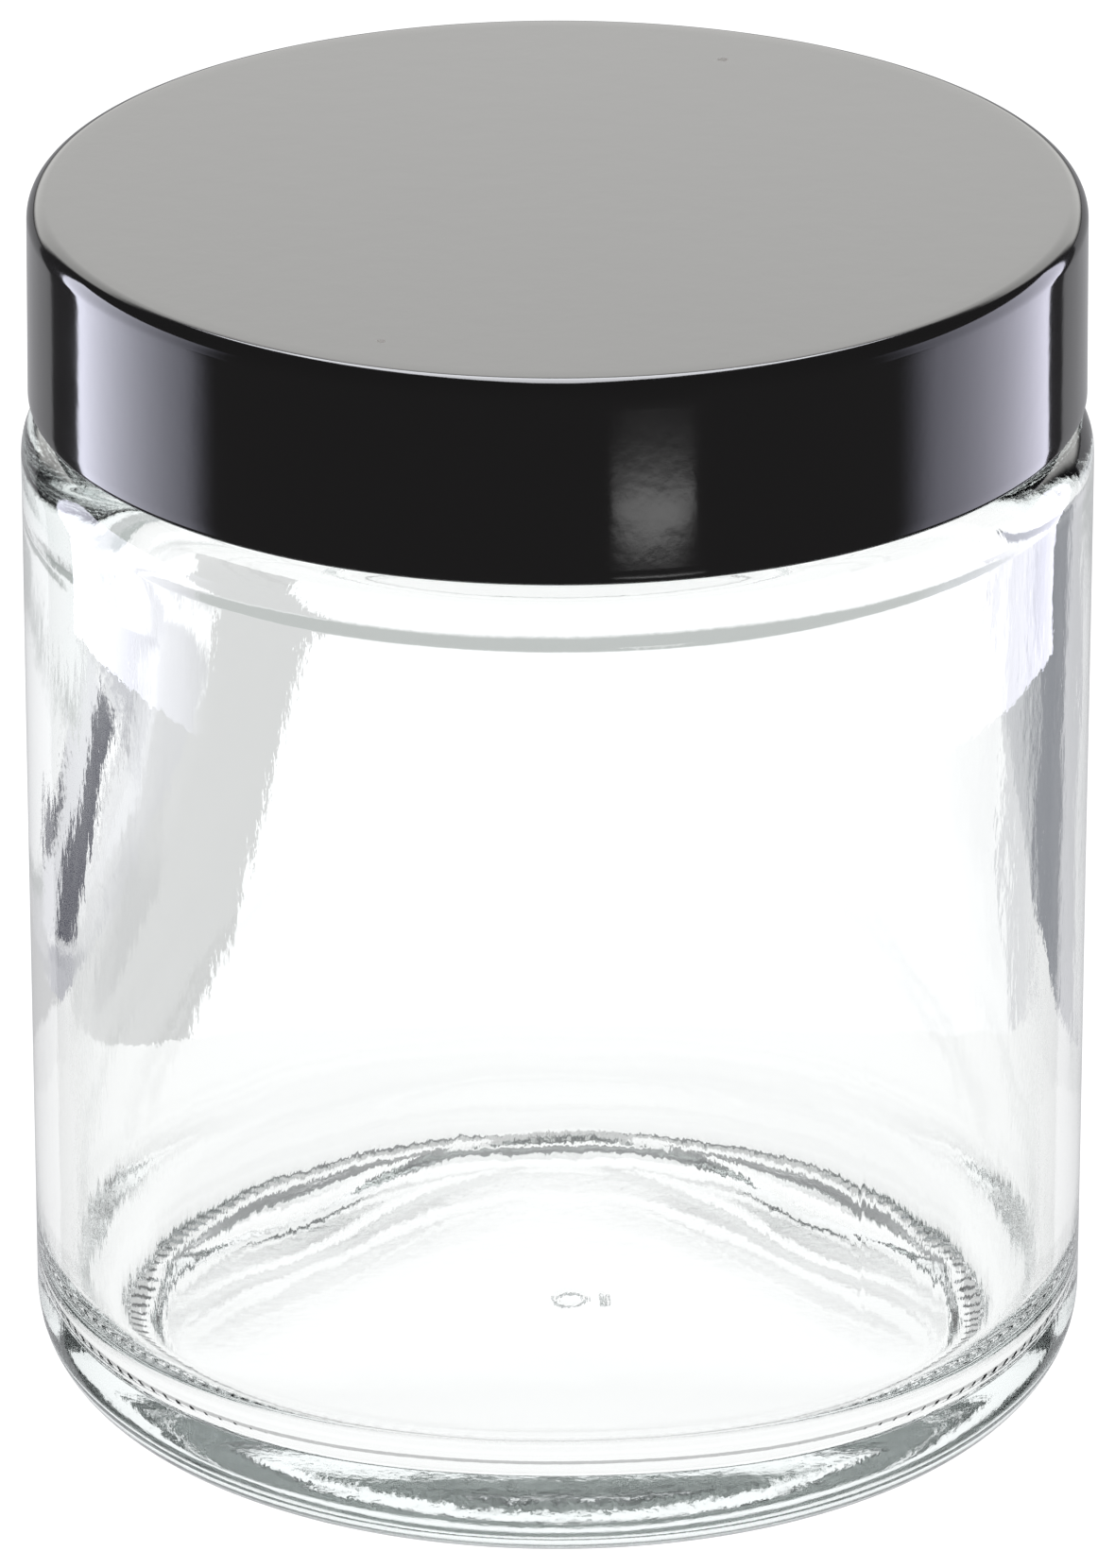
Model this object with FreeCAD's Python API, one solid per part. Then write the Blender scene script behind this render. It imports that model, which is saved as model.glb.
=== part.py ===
"""Straight-sided glass specimen jar with a screw cap and a two-layer liner.

The jar stands on Z = 0 with its axis on Z. All lengths are millimetres.
Each sub-part is written to parts/NODE.step.
"""

import FreeCAD, Part
import math
import os

# ---- driving dimensions -------------------------------------------------
BODY_RADIUS = 30.6          # outside of the straight wall
FOOT_WALL = 2.6             # thickness of the wall just above the inside corner
SHOULDER_WALL = 3.7         # and just under the shoulder
JAR_HEIGHT = 68.9           # bearing ring to sealing rim
FLOOR_HEIGHT = 3.2          # inside floor above the bearing ring, at the corner
FLOOR_DOME = 0.5            # how far the floor rises to its middle

BEARING_INNER_RADIUS = 24.4     # the flat ring that the jar stands on
BEARING_OUTER_RADIUS = 26.4
PUSH_UP_HEIGHT = 1.2            # hollow under the middle of the base
PUSH_UP_LIP = 1.6               # width of the step down to the bearing ring
PUSH_UP_LIP_HEIGHT = 0.35
HEEL_HEIGHT = 4.8               # where the heel curve meets the straight wall
INNER_CORNER_RADIUS = 5.5       # between the inside wall and the floor

SHOULDER_HEIGHT = 59.0      # top of the shoulder
SHOULDER_RADIUS = 2.4       # its rounded edge
NECK_FILLET = 0.7           # shoulder to neck, outside
INNER_SHOULDER_DROP = 4.4   # height of the curve from the inside wall to the bore

# Screw finish: a 58 mm continuous thread with five turns to the inch.
NECK_RADIUS = 26.8          # thread root on the glass
GLASS_THREAD_RADIUS = 28.1  # thread crest on the glass
BORE_RADIUS = 24.4
RIM_OUTER_ROUND = 0.7
RIM_INNER_ROUND = 0.8
LEAD = 5.08                 # rise in one turn
GLASS_THREAD_TURNS = 1.1    # full-depth thread
THREAD_FADE_TURNS = 0.08    # run-out at each end
GLASS_THREAD_WIDTH = 2.5    # at the root
GLASS_THREAD_TOP = 66.7     # middle of the thread at its upper end
THREAD_ROOT_EMBED = 0.4     # how deep a ridge is rooted in its wall

CAP_BOTTOM = 60.05
CAP_TOP = 71.85
CAP_RADIUS_BOTTOM = 30.07
CAP_RADIUS_TOP = 29.95      # moulding draft
CAP_EDGE_ROUND = 1.1
CAP_PANEL = 2.0             # thickness of the top
CAP_BORE_RADIUS = 28.5      # thread root in the cap
CAP_THREAD_RADIUS = 27.3    # thread crest in the cap
CAP_THREAD_WIDTH = 2.0
CAP_THREAD_TURNS = 1.0
CAP_THREAD_BOTTOM = 62.0    # middle of the thread at its lower end
CAP_MOUTH_CHAMFER = 0.5
CAP_LIP_ROUND = 0.35        # outer bottom edge
CAP_INNER_ROUND = 0.5       # under the top, around the liner
THREAD_FLANK_GAP = 0.12     # between the glass and cap flanks

LINER_RADIUS = 27.9
LINER_FACING = 0.13
SEAL_GAP = 0.02             # rim to liner

SECTION_STEP = 9.0          # degrees between the sections of a thread ridge
SECTIONS_PER_FACE = 5       # a thread ridge is made of short faces of this many steps

# ---- worked out from them -----------------------------------------------
FOOT_INNER_RADIUS = BODY_RADIUS - FOOT_WALL
SHOULDER_INNER_RADIUS = BODY_RADIUS - SHOULDER_WALL
LINER_BOTTOM = JAR_HEIGHT + SEAL_GAP
LINER_TOP = CAP_TOP - CAP_PANEL
FACING_TOP = LINER_BOTTOM + LINER_FACING
GLASS_THREAD_BOTTOM = GLASS_THREAD_TOP - GLASS_THREAD_TURNS * LEAD
FULL_TURN = 360.0
Z_AXIS = FreeCAD.Vector(0, 0, 1)
ORIGIN = FreeCAD.Vector(0, 0, 0)


def point(radius, height):
    """A point of a profile, in the XZ plane."""
    return FreeCAD.Vector(radius, 0, height)


def line(start, end):
    return Part.LineSegment(point(*start), point(*end)).toShape()


def arc(start, middle, end):
    return Part.Arc(point(*start), point(*middle), point(*end)).toShape()


def quarter(centre, radius_r, radius_z, start_degrees):
    """Quarter of an ellipse about centre, counter-clockwise in the XZ plane."""
    centre_r, centre_z = centre
    spots = []
    for share in (0.0, 0.25, 0.5, 0.75, 1.0):
        angle = math.radians(start_degrees + share * 90.0)
        spots.append(point(centre_r + radius_r * math.cos(angle),
                           centre_z + radius_z * math.sin(angle)))
    if math.isclose(radius_r, radius_z):
        return Part.Arc(spots[0], spots[2], spots[4]).toShape()
    curve = Part.BSplineCurve()
    curve.interpolate(spots)
    return curve.toShape()


def dome(edge_radius, edge_height, middle_height):
    """Profile of a shallow spherical cap, from its edge to the axis."""
    rise = middle_height - edge_height
    sphere_radius = (edge_radius ** 2 + rise ** 2) / (2.0 * rise)
    half_radius = edge_radius / 2.0
    half_height = middle_height - sphere_radius + math.sqrt(sphere_radius ** 2 - half_radius ** 2)
    return arc((edge_radius, edge_height), (half_radius, half_height), (0, middle_height))


def smooth(points, start_direction, end_direction):
    """One curve through points with given end tangents."""
    curve = Part.BSplineCurve()
    curve.interpolate(Points=[point(*p) for p in points],
                      InitialTangent=point(*start_direction),
                      FinalTangent=point(*end_direction))
    return curve.toShape()


def revolve(edges):
    """A solid of revolution about Z from a closed chain of profile edges."""
    wire = Part.Wire(Part.__sortEdges__(edges))
    return Part.Face(wire).revolve(ORIGIN, Z_AXIS, FULL_TURN)


def only_solid(shape, name):
    """The single valid solid in shape, or a plain message about what is wrong."""
    solids = shape.Solids
    if len(solids) != 1:
        raise ValueError(f"{name} has {len(solids)} solids")
    if not solids[0].isValid():
        raise ValueError(f"{name} is not valid")
    return solids[0]


# ---- screw threads ------------------------------------------------------
def thread_section(angle, height, root_radius, crest_radius, width):
    """Closed rounded section of a ridge, in the radial plane at angle (degrees)."""
    turn = FreeCAD.Rotation(Z_AXIS, angle)
    half = width / 2.0
    low = turn.multVec(point(root_radius, height - half))
    crest = turn.multVec(point(crest_radius, height))
    high = turn.multVec(point(root_radius, height + half))
    return Part.Wire([Part.Arc(low, crest, high).toShape(),
                      Part.LineSegment(high, low).toShape()])


def thread_ridge(wall_radius, crest_radius, width, zero_height, first_angle, last_angle):
    """A right-hand helical ridge on a wall, fading out at both ends.

    zero_height is where its helix crosses angle 0. The ridge has its full depth
    from first_angle to last_angle, in degrees.
    """
    outward = 1.0 if crest_radius > wall_radius else -1.0
    root = wall_radius - outward * THREAD_ROOT_EMBED
    sunk = wall_radius - outward * THREAD_ROOT_EMBED / 2.0
    fade = THREAD_FADE_TURNS * FULL_TURN
    whole_angle = last_angle - first_angle + 2.0 * fade
    count = SECTIONS_PER_FACE * math.ceil(whole_angle / SECTION_STEP / SECTIONS_PER_FACE)
    sections = []
    for index in range(count + 1):
        angle = first_angle - fade + whole_angle * index / count
        past_end = max(first_angle - angle, angle - last_angle, 0.0) / fade
        depth = 0.5 + 0.5 * math.cos(math.pi * min(past_end, 1.0))
        crest = sunk + (crest_radius - sunk) * depth
        height = zero_height + angle / FULL_TURN * LEAD
        sections.append(thread_section(angle, height, root, crest, width))
    faces = [Part.Face(sections[0]), Part.Face(sections[-1])]
    for index in range(0, count, SECTIONS_PER_FACE):
        stretch = sections[index:index + SECTIONS_PER_FACE + 1]
        faces += Part.makeLoft(stretch, False, False).Faces
    shell = Part.makeShell(faces)
    shell.sewShape()
    ridge = Part.Solid(shell)
    if ridge.Volume < 0:
        ridge.reverse()
    return ridge


def glass_thread():
    return thread_ridge(NECK_RADIUS, GLASS_THREAD_RADIUS, GLASS_THREAD_WIDTH,
                        GLASS_THREAD_BOTTOM, 0.0, GLASS_THREAD_TURNS * FULL_TURN)


def flank_half_width(width, root_to_crest, root_to_contact):
    """Half the axial width of a rounded ridge at the radius where flanks meet."""
    half = width / 2.0
    arc_radius = (half ** 2 + root_to_crest ** 2) / (2.0 * root_to_crest)
    below_centre = root_to_contact - root_to_crest + arc_radius
    return math.sqrt(max(arc_radius ** 2 - below_centre ** 2, 0.0))


def cap_thread():
    """The cap's ridge lies just under the glass one, on the same helix."""
    contact = (GLASS_THREAD_RADIUS + CAP_THREAD_RADIUS) / 2.0
    glass_root = NECK_RADIUS - THREAD_ROOT_EMBED
    cap_root = CAP_BORE_RADIUS + THREAD_ROOT_EMBED
    glass_half = flank_half_width(GLASS_THREAD_WIDTH, GLASS_THREAD_RADIUS - glass_root,
                                  contact - glass_root)
    cap_half = flank_half_width(CAP_THREAD_WIDTH, cap_root - CAP_THREAD_RADIUS,
                                cap_root - contact)
    drop = glass_half + cap_half + THREAD_FLANK_GAP
    zero_height = GLASS_THREAD_BOTTOM - drop
    first_angle = (CAP_THREAD_BOTTOM - zero_height) / LEAD * FULL_TURN
    return thread_ridge(CAP_BORE_RADIUS, CAP_THREAD_RADIUS, CAP_THREAD_WIDTH, zero_height,
                        first_angle, first_angle + CAP_THREAD_TURNS * FULL_TURN)


# ---- the pieces ---------------------------------------------------------
def glass_outside():
    """Profile edges from the middle of the base, up the wall, to the rim."""
    lip_radius = BEARING_INNER_RADIUS - PUSH_UP_LIP
    shoulder_centre = (BODY_RADIUS - SHOULDER_RADIUS, SHOULDER_HEIGHT - SHOULDER_RADIUS)
    fillet_centre = (NECK_RADIUS + NECK_FILLET, SHOULDER_HEIGHT + NECK_FILLET)
    rim_centre = (NECK_RADIUS - RIM_OUTER_ROUND, JAR_HEIGHT - RIM_OUTER_ROUND)
    return [
        dome(lip_radius, PUSH_UP_LIP_HEIGHT, PUSH_UP_HEIGHT),
        line((lip_radius, PUSH_UP_LIP_HEIGHT), (BEARING_INNER_RADIUS, 0)),
        line((BEARING_INNER_RADIUS, 0), (BEARING_OUTER_RADIUS, 0)),
        quarter((BEARING_OUTER_RADIUS, HEEL_HEIGHT),
                BODY_RADIUS - BEARING_OUTER_RADIUS, HEEL_HEIGHT, 270.0),
        line((BODY_RADIUS, HEEL_HEIGHT), (BODY_RADIUS, shoulder_centre[1])),
        quarter(shoulder_centre, SHOULDER_RADIUS, SHOULDER_RADIUS, 0.0),
        line((shoulder_centre[0], SHOULDER_HEIGHT), (fillet_centre[0], SHOULDER_HEIGHT)),
        quarter(fillet_centre, NECK_FILLET, NECK_FILLET, 180.0),
        line((NECK_RADIUS, fillet_centre[1]), (NECK_RADIUS, rim_centre[1])),
        quarter(rim_centre, RIM_OUTER_ROUND, RIM_OUTER_ROUND, 0.0),
    ]


def glass_inside():
    """Profile edges from the rim, down the bore and wall, to the middle of the floor."""
    rim_centre = (BORE_RADIUS + RIM_INNER_ROUND, JAR_HEIGHT - RIM_INNER_ROUND)
    bore_bottom = SHOULDER_HEIGHT + NECK_FILLET
    wall_top = bore_bottom - INNER_SHOULDER_DROP
    corner_centre = (FOOT_INNER_RADIUS - INNER_CORNER_RADIUS, FLOOR_HEIGHT + INNER_CORNER_RADIUS)
    floor_radius = corner_centre[0]
    mid_shoulder = ((BORE_RADIUS + SHOULDER_INNER_RADIUS) / 2.0, (bore_bottom + wall_top) / 2.0)
    return [
        line((NECK_RADIUS - RIM_OUTER_ROUND, JAR_HEIGHT), (rim_centre[0], JAR_HEIGHT)),
        quarter(rim_centre, RIM_INNER_ROUND, RIM_INNER_ROUND, 90.0),
        line((BORE_RADIUS, rim_centre[1]), (BORE_RADIUS, bore_bottom)),
        smooth([(BORE_RADIUS, bore_bottom), mid_shoulder, (SHOULDER_INNER_RADIUS, wall_top)],
               (0, -INNER_SHOULDER_DROP), (0, -INNER_SHOULDER_DROP)),
        line((SHOULDER_INNER_RADIUS, wall_top), (FOOT_INNER_RADIUS, corner_centre[1])),
        quarter(corner_centre, INNER_CORNER_RADIUS, INNER_CORNER_RADIUS, 270.0),
        dome(floor_radius, FLOOR_HEIGHT, FLOOR_HEIGHT + FLOOR_DOME),
        line((0, FLOOR_HEIGHT + FLOOR_DOME), (0, PUSH_UP_HEIGHT)),
    ]


def glass_jar():
    body = revolve(glass_outside() + glass_inside())
    return only_solid(body.fuse(glass_thread()), "glass_jar")


def cap_shell():
    edge_centre = (CAP_RADIUS_TOP - CAP_EDGE_ROUND, CAP_TOP - CAP_EDGE_ROUND)
    lip_centre = (CAP_RADIUS_BOTTOM - CAP_LIP_ROUND, CAP_BOTTOM + CAP_LIP_ROUND)
    corner_centre = (CAP_BORE_RADIUS - CAP_INNER_ROUND, LINER_TOP - CAP_INNER_ROUND)
    body = revolve([
        line((0, CAP_TOP), (edge_centre[0], CAP_TOP)),
        quarter(edge_centre, CAP_EDGE_ROUND, CAP_EDGE_ROUND, 0.0),
        line((CAP_RADIUS_TOP, edge_centre[1]), (CAP_RADIUS_BOTTOM, lip_centre[1])),
        quarter(lip_centre, CAP_LIP_ROUND, CAP_LIP_ROUND, 270.0),
        line((lip_centre[0], CAP_BOTTOM), (CAP_BORE_RADIUS + CAP_MOUTH_CHAMFER, CAP_BOTTOM)),
        line((CAP_BORE_RADIUS + CAP_MOUTH_CHAMFER, CAP_BOTTOM),
             (CAP_BORE_RADIUS, CAP_BOTTOM + CAP_MOUTH_CHAMFER)),
        line((CAP_BORE_RADIUS, CAP_BOTTOM + CAP_MOUTH_CHAMFER),
             (CAP_BORE_RADIUS, corner_centre[1])),
        quarter(corner_centre, CAP_INNER_ROUND, CAP_INNER_ROUND, 0.0),
        line((corner_centre[0], LINER_TOP), (0, LINER_TOP)),
        line((0, LINER_TOP), (0, CAP_TOP)),
    ])
    return only_solid(body.fuse(cap_thread()), "cap_shell")


def disc(radius, bottom, top):
    return Part.makeCylinder(radius, top - bottom, FreeCAD.Vector(0, 0, bottom))


def main():
    pieces = {
        "glass_jar": glass_jar(),
        "cap_shell": cap_shell(),
        "liner_backing": disc(LINER_RADIUS, FACING_TOP, LINER_TOP),
        "liner_facing": disc(LINER_RADIUS, LINER_BOTTOM, FACING_TOP),
    }
    os.makedirs("parts", exist_ok=True)
    for name, solid in pieces.items():
        solid.exportStep(os.path.join("parts", name + ".step"))
        print(f"{name}: {solid.Volume / 1000.0:.2f} cm3, {len(solid.Faces)} faces")


main()
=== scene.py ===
import bmesh
import bpy
import math
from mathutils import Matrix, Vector, noise


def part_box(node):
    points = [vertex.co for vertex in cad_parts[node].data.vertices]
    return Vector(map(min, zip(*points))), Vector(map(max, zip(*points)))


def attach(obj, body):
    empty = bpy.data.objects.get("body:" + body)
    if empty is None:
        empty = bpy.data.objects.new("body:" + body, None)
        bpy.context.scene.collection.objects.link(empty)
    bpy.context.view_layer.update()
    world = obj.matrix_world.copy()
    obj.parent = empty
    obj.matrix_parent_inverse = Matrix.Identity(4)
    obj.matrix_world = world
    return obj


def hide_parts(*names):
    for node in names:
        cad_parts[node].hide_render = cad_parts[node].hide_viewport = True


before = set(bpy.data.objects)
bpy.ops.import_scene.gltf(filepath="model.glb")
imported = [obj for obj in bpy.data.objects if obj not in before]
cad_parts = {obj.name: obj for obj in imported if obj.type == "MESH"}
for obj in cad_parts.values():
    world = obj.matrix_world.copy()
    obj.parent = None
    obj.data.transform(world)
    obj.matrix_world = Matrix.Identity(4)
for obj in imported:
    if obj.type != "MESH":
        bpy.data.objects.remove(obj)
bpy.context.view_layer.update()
mm = 0.001
degree = math.pi / 180
jarLow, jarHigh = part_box("glass_jar")
capLow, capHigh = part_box("cap_shell")
backingLow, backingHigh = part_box("liner_backing")
facingLow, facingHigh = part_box("liner_facing")
print("frame loaded,", len(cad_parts), "CAD nodes")

# the screw that the neck and the cap share
screw = {
    "lead": 5.08 * mm,
    "glassBottom": 61.112 * mm,     # middle of the glass thread where it starts, at +X
    "glassTurns": 1.1,
    "capDrop": 1.9165 * mm,         # cap thread below the glass one
    "capBottom": 62.0 * mm,
    "capTurns": 1.0,
    "fadeTurns": 0.08,
}


# mesh helpers
def smoothStep(value, low, high):
    share = min(max((value - low) / (high - low), 0.0), 1.0)
    return share * share * (3 - 2 * share)


def linePoints(start, end, step):
    count = max(1, math.ceil(math.dist(start, end) / step))
    return [(start[0] + (end[0] - start[0]) * k / count,
             start[1] + (end[1] - start[1]) * k / count) for k in range(count + 1)]


def arcPoints(centre, radiusR, radiusZ, startDegrees, endDegrees, count):
    points = []
    for k in range(count + 1):
        angle = (startDegrees + (endDegrees - startDegrees) * k / count) * degree
        points.append((centre[0] + radiusR * math.cos(angle), centre[1] + radiusZ * math.sin(angle)))
    return points


def domeHeight(radius, edgeRadius, edgeHeight, middleHeight):
    # height of a shallow spherical cap at a radius
    rise = middleHeight - edgeHeight
    sphere = (edgeRadius ** 2 + rise ** 2) / (2 * rise)
    return middleHeight - sphere + math.sqrt(sphere ** 2 - radius ** 2)


def joinProfile(*stretches):
    points = []
    for stretch in stretches:
        for point in stretch:
            if not points or math.dist(point, points[-1]) > 0.002 * mm:
                points.append(point)
    return points


def turnedFrom(angle, start):
    # how far an angle is from another, the shorter way round
    return abs((angle - start + math.pi) % (2 * math.pi) - math.pi)


def helixRise(angle, height, zeroHeight, firstAngle, lastAngle, halfWidth):
    # share of a thread's depth at a place on its wall, 0 to 1
    best = 0.0
    lead = screw["lead"]
    fade = screw["fadeTurns"] * 2 * math.pi
    for turn in range(-1, 4):
        along = angle + turn * 2 * math.pi
        if firstAngle - fade < along < lastAngle + fade:
            offset = abs(height - zeroHeight - along / (2 * math.pi) * lead) / halfWidth
            if offset < 1:
                past = max(firstAngle - along, along - lastAngle, 0) / fade
                best = max(best, (1 - offset ** 2.4) * (0.5 + 0.5 * math.cos(math.pi * past)))
    return best


def latheMesh(name, profile, angles, place, fineFrom=None, fineTo=None, fineShare=3):
    # revolves a profile whose ends lie on the axis; rings from fineFrom to fineTo get more columns
    build = bmesh.new()
    fineAngles = []
    for k, angle in enumerate(angles):
        nextAngle = angles[k + 1] if k + 1 < len(angles) else angles[0] + 2 * math.pi
        fineAngles += [angle + (nextAngle - angle) * share / fineShare for share in range(fineShare)]
    rings = []
    for index, (radius, height) in enumerate(profile):
        if radius < 0.001 * mm:
            rings.append([build.verts.new(place(0.0, 0.0, height, index))])
        else:
            fine = fineFrom is not None and fineFrom <= index <= fineTo
            rings.append([build.verts.new(place(angle, radius, height, index))
                          for angle in (fineAngles if fine else angles)])
    for lower, upper in zip(rings, rings[1:]):
        joinRings(build, lower, upper, fineShare)
    for face in build.faces:
        face.smooth = True
    mesh = bpy.data.meshes.new(name)
    build.normal_update()
    build.to_mesh(mesh)
    build.free()
    piece = bpy.data.objects.new(name, mesh)
    bpy.context.scene.collection.objects.link(piece)
    return piece


def joinRings(build, lower, upper, fineShare):
    small, large = sorted((len(lower), len(upper)))
    for k in range(small if small > 1 else large):
        if small == 1:
            centre, ring = (lower[0], upper) if len(lower) == 1 else (upper[0], lower)
            corners = [centre, ring[k], ring[(k + 1) % large]]
            build.faces.new(corners if ring is lower else corners[::-1])
        elif small == large:
            following = (k + 1) % small
            build.faces.new([lower[k], lower[following], upper[following], upper[k]])
        else:
            coarse, fine = (lower, upper) if len(lower) == small else (upper, lower)
            following = (k + 1) % small
            spread = [fine[(k * fineShare + s) % large] for s in range(fineShare + 1)]
            corners = [coarse[k], coarse[following]] + spread[::-1]
            build.faces.new(corners if coarse is lower else corners[::-1])


def columnAngles(count, seamAngles, seamOffsets):
    # evenly spaced columns, with extra ones beside each mould seam
    angles = {round(k * 2 * math.pi / count, 7) for k in range(count)}
    for seam in seamAngles:
        for offset in seamOffsets:
            angles.add(round((seam + offset * degree) % (2 * math.pi), 7))
    kept = []
    for angle in sorted(angles):
        if not kept or angle - kept[-1] > 0.0004:
            kept.append(angle)
    return kept


# material helpers
def newMaterial(name):
    material = bpy.data.materials.new(name)
    material.use_nodes = True
    tree = material.node_tree
    shader = tree.nodes["Principled BSDF"]
    return material, tree, shader, tree.nodes["Material Output"]


def newGroup(name, inputs, outputs):
    group = bpy.data.node_groups.new(name, "ShaderNodeTree")
    for label, value in inputs.items():
        kind = "NodeSocketColor" if isinstance(value, tuple) else "NodeSocketFloat"
        socket = group.interface.new_socket(label, in_out="INPUT", socket_type=kind)
        socket.default_value = value
    for label, kind in outputs.items():
        group.interface.new_socket(label, in_out="OUTPUT", socket_type=kind)
    return group, group.nodes.new("NodeGroupInput"), group.nodes.new("NodeGroupOutput")


def addNode(tree, kind, links=None, **settings):
    node = tree.nodes.new(kind)
    for key, value in settings.items():
        setattr(node, key, value)
    for key, value in (links or {}).items():
        if isinstance(value, bpy.types.NodeSocket):
            tree.links.new(value, node.inputs[key])
        else:
            node.inputs[key].default_value = value
    return node


def mathNode(tree, operation, first, second=None, clamp=False):
    links = {0: first}
    if second is not None:
        links[1] = second
    return addNode(tree, "ShaderNodeMath", links, operation=operation, use_clamp=clamp).outputs[0]


def mixNode(tree, factor, first, second):
    links = {"Factor": factor, 6: first, 7: second}     # sockets 6 and 7 are its two colours
    return addNode(tree, "ShaderNodeMix", links, data_type="RGBA").outputs[2]


def rangeNode(tree, value, low, high, fall=False, smooth=False):
    # goes from 0 to 1 between low and high, or from 1 to 0
    links = {"Value": value, "From Min": low, "From Max": high}
    if fall:
        links.update({"To Min": 1.0, "To Max": 0.0})
    kind = "SMOOTHSTEP" if smooth else "LINEAR"
    return addNode(tree, "ShaderNodeMapRange", links, interpolation_type=kind).outputs[0]


def greyRamp(tree, factor, stops):
    node = addNode(tree, "ShaderNodeValToRGB", {0: factor})
    elements = node.color_ramp.elements
    while len(elements) > 1:
        elements.remove(elements[-1])
    for k, (position, grey) in enumerate(stops):
        element = elements[0] if k == 0 else elements.new(position)
        element.position = position
        element.color = (grey, grey, grey, 1)
    return node.outputs[0]


def bumpNode(tree, height, strength, distance):
    links = {"Height": height, "Strength": strength, "Distance": distance}
    return addNode(tree, "ShaderNodeBump", links).outputs["Normal"]


# shared shader groups
def makeRippleGroup():
    # slow and fine unevenness of a moulded surface, as a height
    inputs = {"Slow Scale": 60.0, "Fine Scale": 900.0, "Fine Share": 0.2, "Stretch": 1.0}
    group, inside, outside = newGroup("mouldRipple", inputs, {"Height": "NodeSocketFloat"})
    place = addNode(group, "ShaderNodeTexCoord").outputs["Object"]
    parts = addNode(group, "ShaderNodeSeparateXYZ", {0: place})
    tall = mathNode(group, "MULTIPLY", parts.outputs["Z"], inside.outputs["Stretch"])
    drawn = addNode(group, "ShaderNodeCombineXYZ",
                    {"X": parts.outputs["X"], "Y": parts.outputs["Y"], "Z": tall}).outputs[0]
    slow = addNode(group, "ShaderNodeTexNoise", {"Vector": drawn, "Scale": inside.outputs["Slow Scale"],
                                                 "Detail": 2.0})
    fine = addNode(group, "ShaderNodeTexNoise", {"Vector": drawn, "Scale": inside.outputs["Fine Scale"],
                                                 "Detail": 3.0})
    fineHeight = mathNode(group, "MULTIPLY", fine.outputs[0], inside.outputs["Fine Share"])
    height = mathNode(group, "ADD", slow.outputs[0], fineHeight)
    group.links.new(height, outside.inputs["Height"])
    return group


def makeDustGroup():
    # specks that lie on a surface, and the haze of handling
    inputs = {"Speck Scale": 900.0, "Speck Amount": 0.02, "Haze Scale": 70.0, "Haze Amount": 0.1}
    outputs = {"Specks": "NodeSocketFloat", "Haze": "NodeSocketFloat"}
    group, inside, outside = newGroup("dustAndHaze", inputs, outputs)
    place = addNode(group, "ShaderNodeTexCoord").outputs["Object"]
    cells = addNode(group, "ShaderNodeTexVoronoi", {"Vector": place, "Scale": inside.outputs["Speck Scale"],
                                                    "Randomness": 1.0})
    chance = addNode(group, "ShaderNodeSeparateColor", {0: cells.outputs["Color"]}).outputs[0]
    chosen = mathNode(group, "LESS_THAN", chance, inside.outputs["Speck Amount"])
    near = mathNode(group, "LESS_THAN", cells.outputs["Distance"], 0.16)     # a speck's size in its cell
    group.links.new(mathNode(group, "MULTIPLY", chosen, near), outside.inputs["Specks"])
    cloud = addNode(group, "ShaderNodeTexNoise", {"Vector": place, "Scale": inside.outputs["Haze Scale"],
                                                  "Detail": 5.0, "Roughness": 0.6})
    patches = rangeNode(group, cloud.outputs[0], 0.45, 0.75)
    haze = mathNode(group, "MULTIPLY", patches, inside.outputs["Haze Amount"])
    group.links.new(haze, outside.inputs["Haze"])
    return group


rippleGroup = makeRippleGroup()
dustGroup = makeDustGroup()


def placeGroup(tree, group, values):
    node = tree.nodes.new("ShaderNodeGroup")
    node.node_tree = group
    for label, value in values.items():
        node.inputs[label].default_value = value
    return node


def addRipple(tree, shader, finish):
    ripple = placeGroup(tree, rippleGroup, finish["ripple"])
    normal = bumpNode(tree, ripple.outputs["Height"], finish["rippleStrength"], finish["rippleDistance"])
    tree.links.new(normal, shader.inputs["Normal"])


def addDust(tree, shader, finish):
    # specks in another colour, and a haze that dulls the gloss
    dust = placeGroup(tree, dustGroup, finish["dust"])
    colour = mixNode(tree, dust.outputs["Specks"], finish["colour"], finish["speckColour"])
    tree.links.new(colour, shader.inputs["Base Color"])
    rough = mathNode(tree, "ADD", dust.outputs["Haze"], finish["roughness"])
    speckRough = mathNode(tree, "MULTIPLY", dust.outputs["Specks"], finish["speckRoughness"])
    tree.links.new(mathNode(tree, "ADD", rough, speckRough, clamp=True), shader.inputs["Roughness"])


print("shader groups made")

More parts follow.
